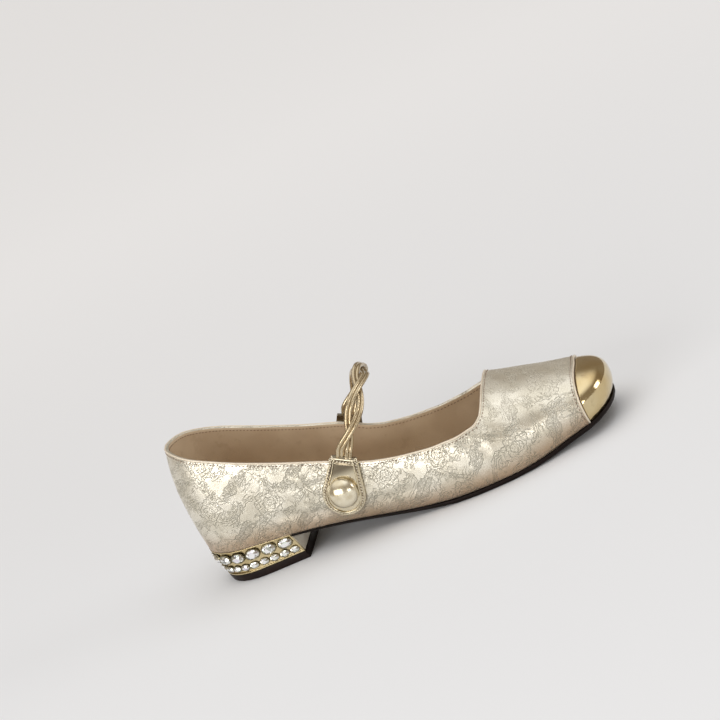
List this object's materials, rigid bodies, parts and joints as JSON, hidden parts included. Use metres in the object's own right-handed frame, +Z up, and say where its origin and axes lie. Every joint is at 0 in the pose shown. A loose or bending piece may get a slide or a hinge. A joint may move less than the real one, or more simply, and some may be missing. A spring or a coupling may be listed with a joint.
{
  "type": "low-heeled mary jane shoe",
  "caption": "Right brocade flat with a metallic toe cap, a twisted double strap from a tab with a pearl button, and a low block heel set with cut stones.",
  "frame": {"origin": "middle of the shoe's box in plan, on the floor", "axes": "+X towards the toe, +Y towards the inner side, +Z up"},
  "size_m": [0.2452, 0.082, 0.0845],
  "materials": {
    "brocade": "champagne satin brocade with woven relief",
    "gold_leather": "glossy pale gold metallic leather",
    "cord": "rolled metallic leather cords",
    "sole": "thin near-black sole with a fine grain",
    "lift": "dark brown heel tip",
    "lining": "soft beige lining leather",
    "breast": "pale champagne heel block",
    "plate": "bright gold plated plastic",
    "stone": "clear faceted stones with a mirror back",
    "pearl": "cream pearl lacquer"
  },
  "bodies": {
    "root": {"outsole": "sole", "insole": "lining", "upper": "brocade", "toe_cap": "gold_leather", "top_lift": "lift", "heel_block": "breast", "heel_plate": "plate", "button_tab": "gold_leather", "inner_tab": "gold_leather", "button": "pearl", "strap_strand_a": "cord", "strap_strand_b": "cord", "stone_large_01": "stone", "stone_large_02": "stone", "stone_large_03": "stone", "stone_large_04": "stone", "stone_large_05": "stone", "stone_large_06": "stone", "stone_large_07": "stone", "stone_large_08": "stone", "stone_large_09": "stone", "stone_large_10": "stone", "stone_large_11": "stone", "stone_large_12": "stone", "stone_large_13": "stone", "stone_large_14": "stone", "stone_small_01": "stone", "stone_small_02": "stone", "stone_small_03": "stone", "stone_small_04": "stone", "stone_small_05": "stone", "stone_small_06": "stone", "stone_small_07": "stone", "stone_small_08": "stone", "stone_small_09": "stone", "stone_small_10": "stone", "stone_small_11": "stone", "stone_small_12": "stone", "stone_small_13": "stone", "stone_small_14": "stone", "stone_small_15": "stone", "stone_small_16": "stone", "stone_small_17": "stone", "stone_small_18": "stone", "stone_small_19": "stone", "stone_small_20": "stone", "stone_small_21": "stone", "stone_small_22": "stone"}
  },
  "joints": []
}
